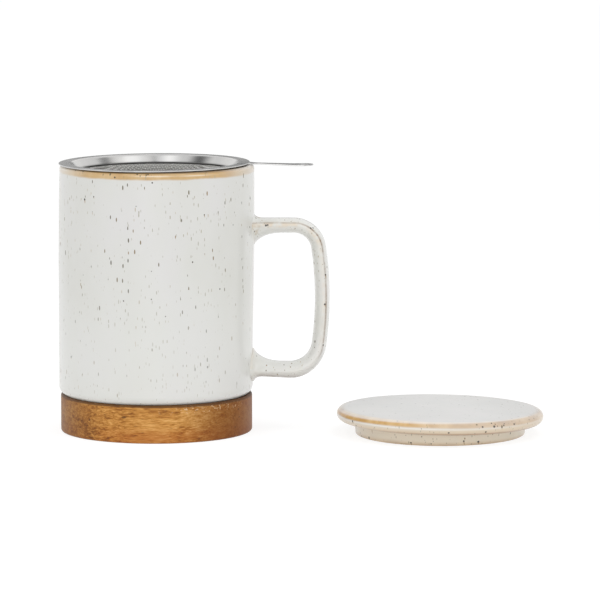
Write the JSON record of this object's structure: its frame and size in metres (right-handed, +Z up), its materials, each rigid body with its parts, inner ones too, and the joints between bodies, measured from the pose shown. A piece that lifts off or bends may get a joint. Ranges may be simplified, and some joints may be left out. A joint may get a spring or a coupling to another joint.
{
  "type": "lidded tea mug with infuser",
  "caption": "Stoneware tea mug on a recessed wooden base, with a flanged mesh infuser hanging in its mouth and a loose round lid lying beside it.",
  "frame": {"origin": "centre of the wooden base's underside, on the mug's axis, on the table", "axes": "+Z up; +X from the mug towards its handle and on to the lid; +Y away from the front"},
  "size_m": [0.2138, 0.0996, 0.1192],
  "materials": {
    "acacia_wood": "oiled, satin",
    "speckled_glaze": "satin off-white glaze with brown speckles and a tan break at the edges",
    "lid_glaze": "satin off-white glaze with brown speckles and a tan break at the edge",
    "polished_steel": "polished",
    "woven_steel": "fine plain weave of bright wire"
  },
  "bodies": {
    "base": {"wooden_base": "acacia_wood"},
    "mug": {"mug_body": "speckled_glaze", "mug_handle": "speckled_glaze"},
    "infuser": {"infuser_rim": "polished_steel", "infuser_mesh": "woven_steel", "infuser_clamp_ring": "polished_steel", "infuser_handle": "polished_steel"},
    "lid": {"lid": "lid_glaze"}
  },
  "joints": [
    {"name": "mug_lift", "type": "slide", "parent": "base", "child": "mug", "axis": [0, 0, 1], "range_m": [0, 0.04]},
    {"name": "infuser_lift", "type": "slide", "parent": "mug", "child": "infuser", "axis": [0, 0, 1], "range_m": [0, 0.075]},
    {"name": "lid_lift", "type": "slide", "parent": "base", "child": "lid", "axis": [0, 0, 1], "range_m": [0, 0.12]}
  ]
}
